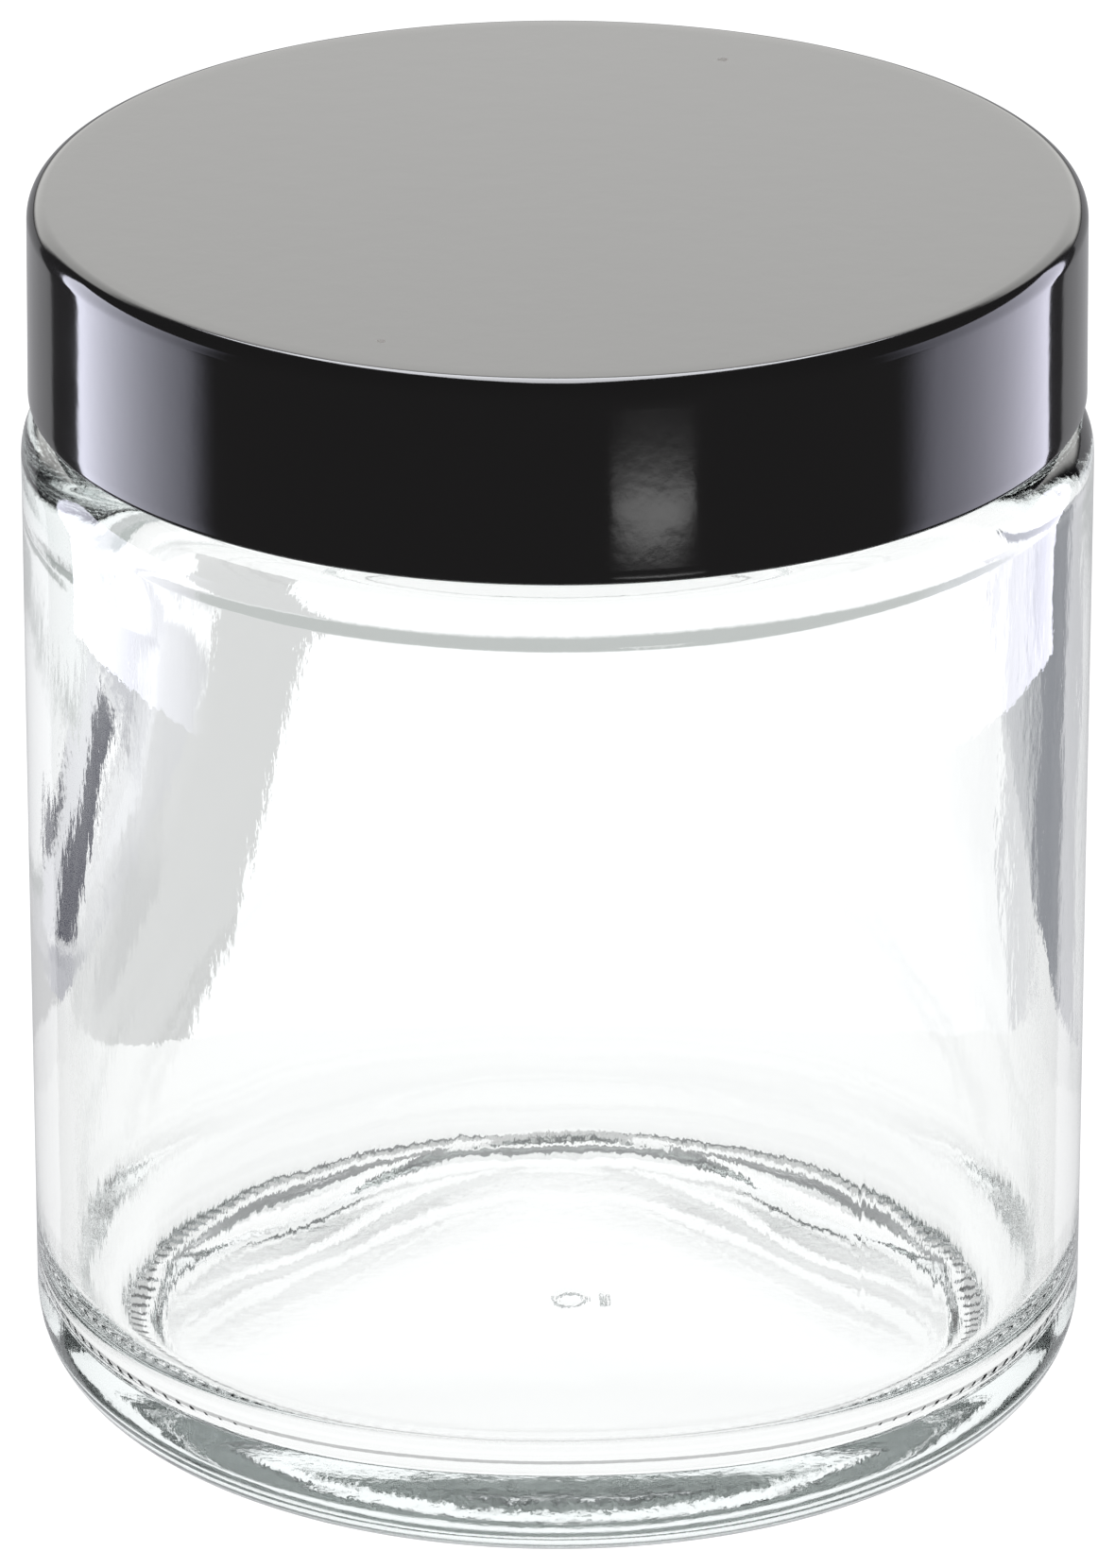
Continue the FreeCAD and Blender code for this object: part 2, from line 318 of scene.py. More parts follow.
# the glass jar
glassShape = {
    "proud": 0.05 * mm,             # room for the seams inside the jar's outline
    "footWall": 2.6 * mm,
    "shoulderWall": 3.7 * mm,
    "floor": 3.2 * mm,
    "floorDome": 0.5 * mm,
    "bearing": (24.4 * mm, 26.4 * mm),
    "pushUp": 1.2 * mm,
    "pushUpLip": (22.8 * mm, 0.35 * mm),
    "heel": 4.8 * mm,
    "innerCorner": 5.5 * mm,
    "shoulder": 59.0 * mm,
    "shoulderRound": 2.4 * mm,
    "neck": 26.8 * mm,
    "neckFillet": 0.7 * mm,
    "threadRise": 1.3 * mm,
    "threadHalf": 1.3 * mm,
    "bore": 24.4 * mm,
    "innerShoulder": 4.4 * mm,
    "rimOuter": 0.7 * mm,
    "rimInner": 0.8 * mm,
    "beads": 140,                   # moulded all round the bearing ring
    "beadDepth": 0.14 * mm,
    "beadWear": 0.75,               # the beads are shallower round the back
    "seams": (-56 * degree,),       # the mould seam, from +X towards +Y
    "seamHeight": 0.004 * mm,
    "seamWidth": 0.14 * mm,
    "columns": 280,
    "wallWave": 0.05 * mm,
    "shoulderFree": 1.5 * mm,       # beside the neck, the shoulder stays even
    "innerWave": 0.10 * mm,
    "innerWaveRadii": (20 * mm, 26 * mm),
    "floorWaveScale": 90,
    "bowlRise": 0.8 * mm,           # how far the floor turns up early between its three flat lobes
    "bowlRadii": (11 * mm, 23 * mm),
    "bowlHeights": (6 * mm, 11 * mm),
    "thickSide": 1.5 * mm,          # the wall is thicker at -X, most of all below the shoulder
    "thickFrom": (25 * mm, 54 * mm),
    "thickTo": (52 * mm, 57 * mm),
    "foldRadii": (23.1 * mm, 4.6 * mm, 1.6 * mm),   # a soft fold in the floor: back, dip and rise
    "foldReach": 104,               # degrees to each side of the back
    "foldWidth": 0.55 * mm,
    "foldHeight": 0.17 * mm,
    "markReach": 4.2 * mm,
    "markRadius": 0.85 * mm,
    "markCentre": (0.6 * mm, 1.6 * mm),
    "markHeight": 0.14 * mm,
    "markLine": 0.22 * mm,          # half the width of the ring's line
    "markSoft": 0.16 * mm,
    "barOffset": 2.1 * mm,
    "barHalf": (0.24 * mm, 0.95 * mm),
}
glassFinish = {
    "tint": (0.990, 0.996, 0.994, 1),
    "ior": 1.52,
    "roughness": 0.0,
    "depthColour": (0.76, 0.87, 0.85, 1),
    "depthDensity": 6.0,
    "shadow": (0.93, 0.95, 0.94, 1),
    "ripple": {"Slow Scale": 180.0, "Fine Scale": 1500.0, "Fine Share": 0.4, "Stretch": 0.35},
    "rippleStrength": 1.0,
    "rippleDistance": 0.014 * mm,
}


def glassProfile(look):
    outer = jarHigh.x - look["proud"]
    top = jarHigh.z
    heelCentre = (look["bearing"][1], look["heel"])
    shoulderCentre = (outer - look["shoulderRound"], look["shoulder"] - look["shoulderRound"])
    filletCentre = (look["neck"] + look["neckFillet"], look["shoulder"] + look["neckFillet"])
    rimCentre = (look["neck"] - look["rimOuter"], top - look["rimOuter"])
    innerRim = (look["bore"] + look["rimInner"], top - look["rimInner"])
    boreBottom = filletCentre[1]
    wallTop = boreBottom - look["innerShoulder"]
    footInner = jarHigh.x - look["footWall"]
    inner = jarHigh.x - look["shoulderWall"]
    corner = (footInner - look["innerCorner"], look["floor"] + look["innerCorner"])
    lipRadius, lipHeight = look["pushUpLip"]
    floorRadius = corner[0]
    innerFall = [(look["bore"] + (inner - look["bore"]) * smoothStep(k, 0, 14),
                  boreBottom - look["innerShoulder"] * k / 14) for k in range(15)]
    underRadii = [0.14 * mm * k for k in range(30)]      # close rings where the mark is
    underRadii += [lipRadius * (0.19 + 0.81 * k / 20) for k in range(21)]
    floorRadii = [floorRadius * (1 - k / 64) for k in range(65)]
    under = [(r, domeHeight(r, lipRadius, lipHeight, look["pushUp"])) for r in underRadii]
    step = [(lipRadius + (look["bearing"][0] - lipRadius) * k / 8, lipHeight * (1 - smoothStep(k, 0, 8)))
            for k in range(9)]
    bearing = linePoints((look["bearing"][0], 0), (look["bearing"][1], 0), 0.2 * mm)
    heel = arcPoints(heelCentre, outer - heelCentre[0], look["heel"], 270, 360, 20)
    wallOutside = linePoints((outer, look["heel"]), (outer, shoulderCentre[1]), 1.7 * mm)
    shoulder = arcPoints(shoulderCentre, look["shoulderRound"], look["shoulderRound"], 0, 90, 12)
    fillet = arcPoints(filletCentre, look["neckFillet"], look["neckFillet"], 270, 180, 5)
    neck = linePoints((look["neck"], filletCentre[1]), (look["neck"], rimCentre[1]), 0.24 * mm)
    rimOuter = arcPoints(rimCentre, look["rimOuter"], look["rimOuter"], 0, 90, 6)
    rimInner = arcPoints(innerRim, look["rimInner"], look["rimInner"], 90, 180, 6)
    bore = linePoints((look["bore"], innerRim[1]), (look["bore"], boreBottom), 1.2 * mm)
    wallInside = linePoints((inner, wallTop), (footInner, corner[1]), 1.3 * mm)
    innerCorner = arcPoints(corner, look["innerCorner"], look["innerCorner"], 360, 270, 20)
    floor = [(r, domeHeight(r, floorRadius, look["floor"], look["floor"] + look["floorDome"]))
             for r in floorRadii]
    outside = joinProfile(under, step, bearing, heel, wallOutside, shoulder, fillet, neck, rimOuter)
    inside = joinProfile(rimInner, bore, innerFall, wallInside, innerCorner, floor)
    profile = joinProfile(outside, inside)
    fine = [k for k, (r, z) in enumerate(profile)
            if z < 0.3 * mm and look["bearing"][0] - 0.5 * mm <= r <= look["bearing"][1] + 0.5 * mm]
    return profile, len(outside), fine[0], fine[-1]


def makeGlassJar(look):
    profile, outsideCount, fineFrom, fineTo = glassProfile(look)
    ringLow, ringHigh = look["bearing"]
    ringMiddle = (ringLow + ringHigh) / 2
    threadEnd = look["shoulder"] + look["neckFillet"]
    wallStart = look["heel"] * 0.7

    def beadLift(angle, radius):
        # the ring is recessed between its beads, which touch the ground
        band = math.sin(math.pi * (radius - ringLow) / (ringHigh - ringLow))
        across = max(0.0, 1 - (abs(radius - ringMiddle) / (0.36 * (ringHigh - ringLow))) ** 4)
        along = 0.5 + 0.5 * math.cos(look["beads"] * angle)
        depth = look["beadDepth"] * (1 - look["beadWear"] * smoothStep(math.sin(angle), 0, 0.6))
        return depth * band * (1 - across * along ** 1.5)

    def markLift(x, y):
        # a plain cavity mark: a small ring with a bar beside it
        fromCentre = math.hypot(x - look["markCentre"][0], y - look["markCentre"][1])
        ring = smoothStep(look["markLine"] - abs(fromCentre - look["markRadius"]), 0, look["markSoft"])
        halfX, halfY = look["barHalf"]
        barX = abs(x - look["markCentre"][0] - look["barOffset"])
        barY = abs(y - look["markCentre"][1])
        bar = smoothStep(halfX - barX, 0, look["markSoft"]) * smoothStep(halfY - barY, 0, 0.2 * mm)
        return look["markHeight"] * max(ring, bar)

    def outsideWall(angle, radius, height):
        # a slow swell, and the ridge of the mould seam
        swell = noise.noise(Vector((math.cos(angle) * 1.2, math.sin(angle) * 1.2, height * 45)))
        radius -= look["wallWave"] * (0.5 + 0.5 * swell)
        away = min(turnedFrom(angle, seam) for seam in look["seams"]) * radius
        return radius + look["seamHeight"] * math.exp(-(away / look["seamWidth"]) ** 2)

    def insideWall(angle, radius, height):
        # the inside is freely blown, so it wanders more than the moulded outside
        x, y = math.cos(angle), math.sin(angle)
        slow = noise.noise(Vector((x * 1.6, y * 1.6, height * 60 + 7)))
        quick = noise.noise(Vector((x * 9, y * 9, height * 160 + 3)))
        wave = look["innerWave"] * (slow + 0.16 * quick) * smoothStep(radius, *look["innerWaveRadii"])
        upper = smoothStep(height, *look["thickFrom"]) * (1 - smoothStep(height, *look["thickTo"]))
        side = max(0.0, math.cos(min(abs(angle - math.pi), 1.0) * math.pi / 2)) ** 2
        return radius - (wave + look["thickSide"] * side * upper)

    def floorLift(angle, radius, height):
        # the uneven floor, turned up between three lobes, with a soft fold round the back
        x, y = math.cos(angle) * radius, math.sin(angle) * radius
        ripple = noise.noise(Vector((x * look["floorWaveScale"], y * look["floorWaveScale"], 1)))
        height += 0.5 * look["innerWave"] * ripple
        lobe = 0.5 + 0.5 * math.cos(3 * (angle - math.pi / 2))
        bowl = smoothStep(radius, *look["bowlRadii"]) * (1 - smoothStep(height, *look["bowlHeights"]))
        height += look["bowlRise"] * (1 - lobe) * bowl
        fromBack = turnedFrom(angle, math.pi / 2) / degree
        reach = look["foldReach"]
        if fromBack < reach and height < 12 * mm:
            back, dip, rise = look["foldRadii"]
            crest = back - dip * math.sin(math.pi * fromBack / reach) ** 2
            crest += rise * smoothStep(fromBack, 50, 85)
            fold = math.exp(-((radius - crest) / look["foldWidth"]) ** 2)
            height += look["foldHeight"] * (fold * (1 - smoothStep(fromBack, 80, reach)))
        return height

    def place(angle, radius, height, index):
        x, y = math.cos(angle), math.sin(angle)
        if index < outsideCount:
            if ringLow < radius < ringHigh and height < 0.01 * mm:
                height += beadLift(angle, radius)
            elif radius < look["markReach"]:
                height -= markLift(x * radius, y * radius)
            elif height > wallStart and radius > look["neck"] + look["shoulderFree"]:
                radius = outsideWall(angle, radius, height)
            elif threadEnd < height < jarHigh.z - look["rimOuter"]:
                lastAngle = screw["glassTurns"] * 2 * math.pi
                rise = helixRise(angle, height, screw["glassBottom"], 0.0, lastAngle, look["threadHalf"])
                radius += look["threadRise"] * rise
        elif height < look["shoulder"] and radius > 0:
            radius = insideWall(angle, radius, height)
            height = floorLift(angle, radius, height)
        return (x * radius, y * radius, height)

    offsets = (-0.9, -0.5, -0.3, -0.15, 0, 0.15, 0.3, 0.5, 0.9)
    angles = columnAngles(look["columns"], look["seams"], offsets)
    return latheMesh("glassJar", profile, angles, place, fineFrom, fineTo)


def makeGlassMaterial(finish):
    material, tree, shader, output = newMaterial("clearGlass")
    shader.inputs["Base Color"].default_value = finish["tint"]
    shader.inputs["Roughness"].default_value = finish["roughness"]
    shader.inputs["IOR"].default_value = finish["ior"]
    shader.inputs["Transmission Weight"].default_value = 1.0
    shader.inputs["Metallic"].default_value = 0.0
    addRipple(tree, shader, finish)
    depth = addNode(tree, "ShaderNodeVolumeAbsorption", {"Color": finish["depthColour"],
                                                         "Density": finish["depthDensity"]})
    tree.links.new(depth.outputs[0], output.inputs["Volume"])
    clear = addNode(tree, "ShaderNodeBsdfTransparent", {"Color": finish["shadow"]})
    path = addNode(tree, "ShaderNodeLightPath")
    mix = addNode(tree, "ShaderNodeMixShader", {0: path.outputs["Is Shadow Ray"], 1: shader.outputs[0],
                                                2: clear.outputs[0]})
    tree.links.new(mix.outputs[0], output.inputs["Surface"])
    return material


glassJar = makeGlassJar(glassShape)
glassJar.data.materials.append(makeGlassMaterial(glassFinish))
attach(glassJar, "jar")
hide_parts("glass_jar")
print("glass jar made,", len(glassJar.data.polygons), "faces")

# the cap
capShape = {
    "lower": capHigh.x,
    "upper": 29.95 * mm,
    "edgeRound": 1.1 * mm,
    "panel": 2.0 * mm,
    "bore": 28.5 * mm,
    "threadRise": 1.15 * mm,
    "threadHalf": 0.98 * mm,
    "mouthChamfer": 0.5 * mm,
    "lipRound": 0.35 * mm,
    "innerRound": 0.5 * mm,
    "dish": 0.03 * mm,
    "columns": 288,
    "skirtWave": 0.006 * mm,
}
capFinish = {
    "colour": (0.0065, 0.0062, 0.0062, 1),
    "ior": 1.55,
    "roughness": 0.07,
    "dust": {"Speck Scale": 520.0, "Speck Amount": 0.006, "Haze Scale": 90.0, "Haze Amount": 0.05},
    "speckColour": (0.16, 0.15, 0.14, 1),
    "speckRoughness": 0.5,
    "ripple": {"Slow Scale": 500.0, "Fine Scale": 2600.0, "Fine Share": 0.22, "Stretch": 0.8},
    "rippleStrength": 1.0,
    "rippleDistance": 0.005 * mm,
}


def capProfile(look):
    bottom, top = capLow.z, capHigh.z
    under = top - look["panel"]
    edge = (look["upper"] - look["edgeRound"], top - look["edgeRound"])
    lip = (look["lower"] - look["lipRound"], bottom + look["lipRound"])
    corner = (look["bore"] - look["innerRound"], under - look["innerRound"])
    upperFace = linePoints((0, top), (edge[0], top), 0.9 * mm)
    roll = arcPoints(edge, look["edgeRound"], look["edgeRound"], 90, 0, 14)
    skirt = linePoints((look["upper"], edge[1]), (look["lower"], lip[1]), 0.6 * mm)
    lipRoll = arcPoints(lip, look["lipRound"], look["lipRound"], 0, -90, 8)
    mouth = linePoints((lip[0], bottom), (look["bore"] + look["mouthChamfer"], bottom), 0.5 * mm)
    bore = linePoints((look["bore"], bottom + look["mouthChamfer"]), (look["bore"], corner[1]), 0.22 * mm)
    innerRoll = arcPoints(corner, look["innerRound"], look["innerRound"], 0, 90, 6)
    underFace = linePoints((corner[0], under), (0, under), 1.4 * mm)
    return joinProfile(upperFace, roll, skirt, lipRoll, mouth, bore, innerRoll, underFace)[::-1]


def makeCapShell(look):
    zeroHeight = screw["glassBottom"] - screw["capDrop"]
    firstAngle = (screw["capBottom"] - zeroHeight) / screw["lead"] * 2 * math.pi
    lastAngle = firstAngle + screw["capTurns"] * 2 * math.pi
    boreLow = capLow.z + look["mouthChamfer"]
    boreHigh = capHigh.z - look["panel"] - look["innerRound"]

    def place(angle, radius, height, index):
        x, y = math.cos(angle), math.sin(angle)
        if abs(radius - look["bore"]) < 0.01 * mm and boreLow <= height <= boreHigh:
            rise = helixRise(angle, height, zeroHeight, firstAngle, lastAngle, look["threadHalf"])
            radius -= look["threadRise"] * rise
        elif height > capHigh.z - 0.001 * mm:
            fromMiddle = radius / look["upper"]
            height -= look["dish"] * (1 - fromMiddle ** 2)
        elif radius > look["bore"] + 1.0 * mm:
            radius -= look["skirtWave"] * (1 + noise.noise(Vector((x * 7, y * 7, height * 130))))
        return (x * radius, y * radius, height)

    angles = columnAngles(look["columns"], (), ())
    return latheMesh("capShell", capProfile(look), angles, place)


def makeCapMaterial(finish):
    material, tree, shader, output = newMaterial("blackPhenolic")
    shader.inputs["IOR"].default_value = finish["ior"]
    addDust(tree, shader, finish)
    addRipple(tree, shader, finish)
    return material


capShell = makeCapShell(capShape)
capShell.data.materials.append(makeCapMaterial(capFinish))
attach(capShell, "cap")
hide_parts("cap_shell")
print("cap made,", len(capShell.data.polygons), "faces")

# the liner
linerShape = {
    "foamEdge": 0.12 * mm,
    "filmEdge": 0.03 * mm,
    "columns": 192,
    "groove": (24.3 * mm, 26.9 * mm),   # where the jar's rim has pressed
    "grooveDepth": 0.015 * mm,
}
foamFinish = {
    "cellScale": 2600.0,
    # greys from the middle of each cell outwards: painted shade in the pits of the foam's cells
    "pitShadeGreys": ((0.0, 0.70), (0.35, 0.86), (1.0, 0.90)),
    "cellStrength": 0.5,
    "cellDepth": 0.05 * mm,
    "roughness": 0.75,
}
filmFinish = {
    "colour": (0.90, 0.90, 0.88, 1),
    "roughness": 0.32,
    "dust": {"Speck Scale": 420.0, "Speck Amount": 0.02, "Haze Scale": 120.0, "Haze Amount": 0.12},
    "speckColour": (0.55, 0.54, 0.50, 1),
    "speckRoughness": 0.0,
    "ripple": {"Slow Scale": 300.0, "Fine Scale": 3000.0, "Fine Share": 0.3, "Stretch": 1.0},
    "rippleStrength": 0.15,
    "rippleDistance": 0.05 * mm,
}


def linerDisc(name, low, high, look, edgeRound):
    bottom, top, radius = low.z, high.z, high.x
    flat = radius - edgeRound
    lowerFace = linePoints((0, bottom), (flat, bottom), 0.7 * mm)
    side = joinProfile(arcPoints((flat, bottom + edgeRound), edgeRound, edgeRound, 270, 360, 4),
                       arcPoints((flat, top - edgeRound), edgeRound, edgeRound, 0, 90, 4))
    upperFace = linePoints((flat, top), (0, top), 0.7 * mm)
    profile = joinProfile(lowerFace, side, upperFace)
    grooveLow, grooveHigh = look["groove"]

    def place(angle, radius, height, index):
        x, y = math.cos(angle), math.sin(angle)
        if height < bottom + 0.001 * mm and grooveLow < radius < grooveHigh:
            share = (radius - grooveLow) / (grooveHigh - grooveLow)
            height += look["grooveDepth"] * math.sin(math.pi * share) ** 0.5
        return (x * radius, y * radius, height)

    return latheMesh(name, profile, columnAngles(look["columns"], (), ()), place)


def makeFoamMaterial(finish):
    material, tree, shader, output = newMaterial("linerFoam")
    place = addNode(tree, "ShaderNodeTexCoord").outputs["Object"]
    cells = addNode(tree, "ShaderNodeTexVoronoi", {"Vector": place, "Scale": finish["cellScale"]})
    # painted shade: the foam is greyer in the pits of its cells, where the bump below sinks
    shade = greyRamp(tree, cells.outputs["Distance"], finish["pitShadeGreys"])
    tree.links.new(shade, shader.inputs["Base Color"])
    shader.inputs["Roughness"].default_value = finish["roughness"]
    normal = bumpNode(tree, cells.outputs["Distance"], finish["cellStrength"], finish["cellDepth"])
    tree.links.new(normal, shader.inputs["Normal"])
    return material


def makeFilmMaterial(finish):
    material, tree, shader, output = newMaterial("linerFilm")
    addDust(tree, shader, finish)
    addRipple(tree, shader, finish)
    return material


linerBacking = linerDisc("linerBacking", backingLow, backingHigh, linerShape, linerShape["foamEdge"])
linerBacking.data.materials.append(makeFoamMaterial(foamFinish))
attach(linerBacking, "liner")
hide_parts("liner_backing")
linerFacing = linerDisc("linerFacing", facingLow, facingHigh, linerShape, linerShape["filmEdge"])
linerFacing.data.materials.append(makeFilmMaterial(filmFinish))
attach(linerFacing, "liner")
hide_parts("liner_facing")
print("liner made")

# studio
# Angles are in degrees. A bearing is taken from straight behind the jar (+Y), and + is to the right (+X).
studio = {
    "floorGlow": 1.12,
    "floorSize": 40.0,              # metres
    "sheet": ((-160 * mm, -160 * mm), (160 * mm, 49 * mm)),    # white sheet under the jar, seen through it
    "sheetGlow": 1.07,
    "contactRing": (25.2 * mm, 26.2 * mm),      # the shade where the jar touches the sheet
    "contactGlow": 0.60,
    # a grey patch on the table, seen only through the glass: a painted shadow of the jar and cap
    "paintedShadow": ((-72, 46), (-28.5, 46), (-26.5, 83), (-21.5, 134), (-42, 134), (-50, 112), (-58, 99),
                 (-52, 82), (-58, 65)),     # corners on the table, in mm
    "paintedShadowGlow": 0.70,
    "room": (0.05, 0.05, 0.055),    # what gloss reflects where no light stands
    "around": (1.14, 1.14, 1.15),   # what glass shows where nothing dark stands
    "overhead": (0.16, 0.165, 0.17),
    "overheadFrom": (30, 38),
}
# what the cap and the glass reflect: the low backdrops, the two side lights and the one overhead
glossLights = [
    {"bearing": (-38, 38), "height": (-90, 4), "edge": 2, "glow": (0.50, 0.50, 0.52)},
    {"bearing": (-36, 36), "height": (8, 38), "edge": 8, "glow": (2.30, 2.29, 2.24)},
    {"bearing": (-52, -102), "height": (-13, 22), "edge": 1.5, "farEdge": 12,
     "glow": (6.0, 6.05, 7.0), "farGlow": (0.8, 0.8, 1.0)},
    {"bearing": (45, 103), "height": (-13, 22), "edge": 1.5, "farEdge": 16,
     "glow": (4.4, 4.35, 5.1), "farGlow": (0.8, 0.8, 1.0)},
    {"bearing": (-20, 17), "height": (42, 84), "edge": 3, "glow": (9.0, 9.1, 9.5)},
]
# grey and dark flags that show through the glass
glassFlags = [
    {"bearing": (-24, 40), "height": (-19.3, -13), "edge": 1.5, "glow": (0.50, 0.52, 0.51)},
    {"bearing": (-30, -12), "height": (-19.6, -14.5), "edge": 1.0, "glow": (0.68, 0.68, 0.70)},
    {"bearing": (-41, -24), "height": (-16.0, -12.4), "edge": 0.8, "glow": (0.88, 0.88, 0.92)},
    {"bearing": (-60, -30), "height": (-22.6, -16.5), "edge": 1.0, "glow": (0.60, 0.60, 0.64)},
    {"bearing": (-39, -23.5), "height": (-12.4, -7.8), "edge": 0.7, "glow": (0.05, 0.05, 0.08)},
    {"bearing": (-46, -35.5), "height": (-16.2, -9), "edge": 0.8, "glow": (0.07, 0.07, 0.10)},
    {"bearing": (18.5, 31), "height": (-23, -14), "edge": 0.8, "glow": (0.68, 0.68, 0.71)},
    {"bearing": (30, 60), "height": (-22.8, -14), "edge": 1.5, "glow": (0.33, 0.34, 0.37)},
]
# the feet of the two side lights, near enough that only the upper glass and the cap reflect them
standingLights = [
    {"bearing": (-66, -111), "fade": 9, "distance": 120 * mm, "foot": 8 * mm, "top": 50 * mm,
     "glow": (6.0, 6.05, 7.0), "farGlow": (0.8, 0.8, 1.0)},
    {"bearing": (60, 112), "fade": 12, "distance": 120 * mm, "foot": 5 * mm, "top": 50 * mm,
     "glow": (4.4, 4.35, 5.1), "farGlow": (0.8, 0.8, 1.0)},
]
# small cards in front, for the soft spot on the cap's side
frontCards = [
    {"bearing": 161, "distance": 200 * mm, "width": 60 * mm, "depth": 13 * mm, "glow": 3.2},
    {"bearing": 160, "distance": 153 * mm, "width": 50 * mm, "depth": 4 * mm, "glow": 3.4},
]


def stageLight(name, build):
    # a flat black surface that only glows, and isn't part of the jar
    mesh = bpy.data.meshes.new(name)
    build.to_mesh(mesh)
    build.free()
    light = bpy.data.objects.new(name, mesh)
    bpy.context.scene.collection.objects.link(light)
    material, tree, shader, output = newMaterial(name)
    shader.inputs["Base Color"].default_value = (0, 0, 0, 1)
    shader.inputs["Roughness"].default_value = 1.0
    shader.inputs["Specular IOR Level"].default_value = 0.0
    shader.inputs["Emission Color"].default_value = (1, 1, 1, 1)
    shader.inputs["Emission Strength"].default_value = 1.0
    mesh.materials.append(material)
    return light, tree, shader


def flatPanel(name, outline, glow, hole=()):
    build = bmesh.new()
    edge = [build.verts.new(corner) for corner in outline]
    inner = [build.verts.new(corner) for corner in hole]
    if inner:
        for k in range(len(edge)):
            following = (k + 1) % len(edge)
            build.faces.new([edge[k], edge[following], inner[following], inner[k]])
    else:
        build.faces.new(edge)
    panel, tree, shader = stageLight(name, build)
    shader.inputs["Emission Strength"].default_value = glow
    return panel


def showOnly(panel, camera=False, glossy=False, transmission=False, diffuse=False):
    panel.visible_camera = camera
    panel.visible_glossy = glossy
    panel.visible_transmission = transmission
    panel.visible_diffuse = diffuse
    panel.visible_shadow = False


def rectangle(nearLeft, farRight, height):
    (left, front), (right, back) = nearLeft, farRight
    return [(left, front, height), (right, front, height), (right, back, height), (left, back, height)]


def makeFloor(look):
    half = look["floorSize"] / 2
    low = jarLow.z - 0.02 * mm
    floor = flatPanel("paleFloor", rectangle((-half, -half), (half, half), low), look["floorGlow"])
    showOnly(floor, camera=True, diffuse=True)
    sheet = flatPanel("tableSheet", rectangle(*look["sheet"], low), look["sheetGlow"])
    showOnly(sheet, transmission=True)
    rings = [[(radius * math.cos(k * math.pi / 48), radius * math.sin(k * math.pi / 48), low + 0.01 * mm)
              for k in range(96)] for radius in look["contactRing"]]
    showOnly(flatPanel("contactShade", rings[1], look["contactGlow"], rings[0]), transmission=True)
    # painted shadow of the jar and cap on the table, seen only through the glass
    card = [(x * mm, y * mm, low - 0.1 * mm) for x, y in look["paintedShadow"]]
    showOnly(flatPanel("paintedShadow", card, look["paintedShadowGlow"]), transmission=True)


def makeFrontCard(name, look):
    bearing = look["bearing"] * degree
    outward = Vector((math.sin(bearing), math.cos(bearing), 0))
    across = Vector((outward.y, -outward.x, 0))
    centre = outward * look["distance"]
    corners = [centre + across * math.cos(k * math.pi / 16) * look["width"] / 2
               + outward * math.sin(k * math.pi / 16) * look["depth"] / 2 for k in range(32)]
    showOnly(flatPanel(name, corners, look["glow"]), glossy=True)


def bearingNode(tree, output):
    # the bearing of a place or a direction, and its separate parts
    place = addNode(tree, "ShaderNodeTexCoord").outputs[output]
    parts = addNode(tree, "ShaderNodeSeparateXYZ", {0: place}).outputs
    return mathNode(tree, "DEGREES", mathNode(tree, "ARCTAN2", parts["X"], parts["Y"])), parts


def makeStandingLight(name, look):
    start, end = look["bearing"]
    build = bmesh.new()
    columns = []
    for k in range(49):
        bearing = (start + (end - start) * k / 48) * degree
        x, y = math.sin(bearing) * look["distance"], math.cos(bearing) * look["distance"]
        columns.append([build.verts.new((x, y, height)) for height in (look["foot"], look["top"])])
    for column, following in zip(columns, columns[1:]):
        build.faces.new([column[0], following[0], following[1], column[1]])
    light, tree, shader = stageLight(name, build)
    bearing, parts = bearingNode(tree, "Object")
    along = rangeNode(tree, bearing, start, end)
    glow = mixNode(tree, along, (*look["glow"], 1), (*look["farGlow"], 1))
    fade = look["fade"] if end > start else -look["fade"]
    ending = rangeNode(tree, bearing, end, end - fade, smooth=True)
    tree.links.new(mixNode(tree, ending, (*studio["room"], 1), glow), shader.inputs["Emission Color"])
    showOnly(light, glossy=True)


def angleMask(tree, angle, start, end, startEdge, endEdge):
    low, high = min(start, end), max(start, end)
    lowEdge, highEdge = (startEdge, endEdge) if start < end else (endEdge, startEdge)
    rise = rangeNode(tree, angle, low - lowEdge / 2, low + lowEdge / 2, smooth=True)
    fall = rangeNode(tree, angle, high - highEdge / 2, high + highEdge / 2, fall=True, smooth=True)
    return mathNode(tree, "MULTIPLY", rise, fall)


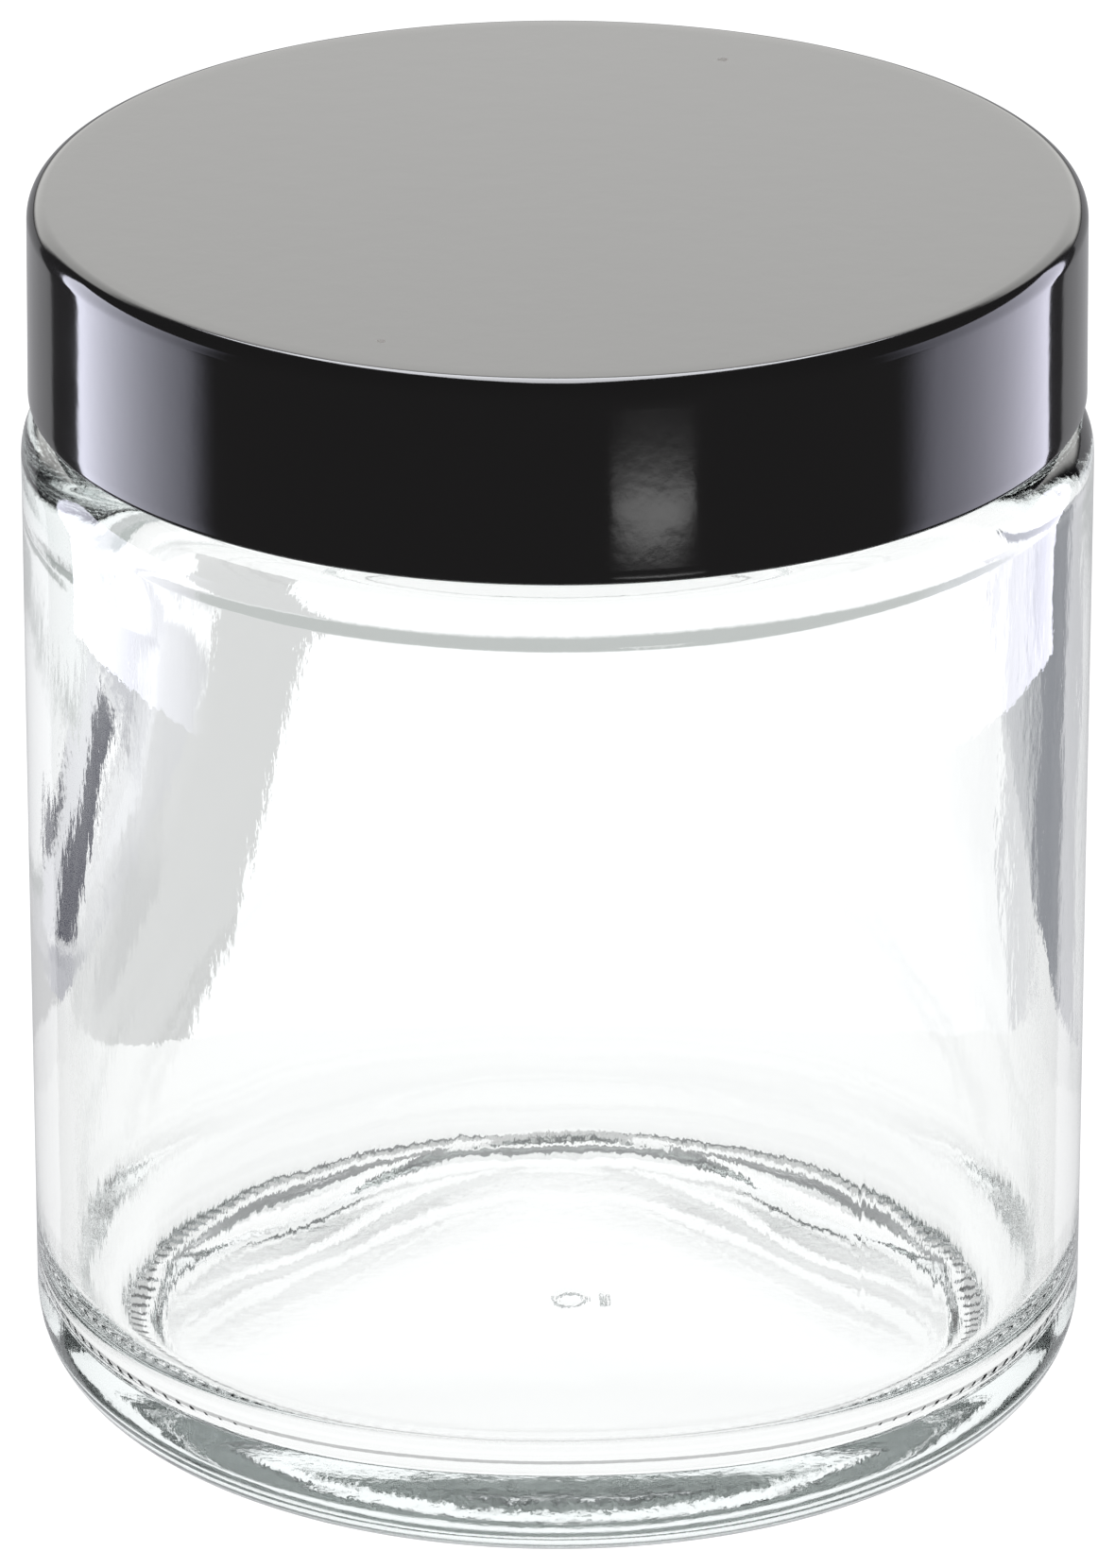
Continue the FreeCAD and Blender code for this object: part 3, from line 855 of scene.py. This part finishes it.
def layCards(tree, bearing, height, ground, cards):
    # lays each card over what is behind it
    colour = ground
    for card in cards:
        edge = card["edge"]
        side = angleMask(tree, bearing, *card["bearing"], edge, card.get("farEdge", edge))
        mask = mathNode(tree, "MULTIPLY", side, angleMask(tree, height, *card["height"], edge, edge))
        along = rangeNode(tree, bearing, *card["bearing"])
        glow = mixNode(tree, along, (*card["glow"], 1), (*card.get("farGlow", card["glow"]), 1))
        colour = mixNode(tree, mask, colour, glow)
    return colour


def makeWorld(look):
    world = bpy.data.worlds.new("studio")
    bpy.context.scene.world = world
    world.use_nodes = True
    tree = world.node_tree
    bearing, parts = bearingNode(tree, "Generated")
    height = mathNode(tree, "DEGREES", mathNode(tree, "ARCSINE", parts["Z"]))
    gloss = layCards(tree, bearing, height, (*look["room"], 1), glossLights)
    above = rangeNode(tree, height, *look["overheadFrom"])
    surround = mixNode(tree, above, (*look["around"], 1), (*look["overhead"], 1))
    through = layCards(tree, bearing, height, surround, glassFlags)
    path = addNode(tree, "ShaderNodeLightPath").outputs
    plain = (look["floorGlow"], look["floorGlow"], look["floorGlow"], 1)
    seen = mixNode(tree, path["Is Glossy Ray"], plain, gloss)
    # light that left through the glass counts as both, so this comes last
    seen = mixNode(tree, path["Is Transmission Ray"], seen, through)
    tree.links.new(seen, tree.nodes["Background"].inputs["Color"])


def makeCamera():
    setup = {"distance": 640.35 * mm, "pitch": 23.3046 * degree, "aimHeight": 35.48 * mm, "lens": 254.84}
    data = bpy.data.cameras.new("viewCamera")
    data.lens = setup["lens"]
    data.sensor_width = 36
    data.clip_start = 0.01
    data.clip_end = 100
    camera = bpy.data.objects.new("viewCamera", data)
    bpy.context.scene.collection.objects.link(camera)
    reach = setup["distance"] * math.cos(setup["pitch"])
    lift = setup["distance"] * math.sin(setup["pitch"])
    camera.location = (0, -reach, setup["aimHeight"] + lift)
    camera.rotation_euler = (math.pi / 2 - setup["pitch"], 0, 0)
    bpy.context.scene.camera = camera


makeFloor(studio)
for count, card in enumerate(frontCards, 1):
    makeFrontCard(f"frontCard{count}", card)
for count, light in enumerate(standingLights, 1):
    makeStandingLight(f"standingLight{count}", light)
makeWorld(studio)
makeCamera()
scene = bpy.context.scene
scene.view_settings.view_transform = "Standard"
scene.cycles.max_bounces = 32
scene.cycles.transmission_bounces = 32
scene.cycles.glossy_bounces = 16
scene.cycles.caustics_reflective = False
scene.cycles.caustics_refractive = True     # lights the liner through the glass
print("studio made")
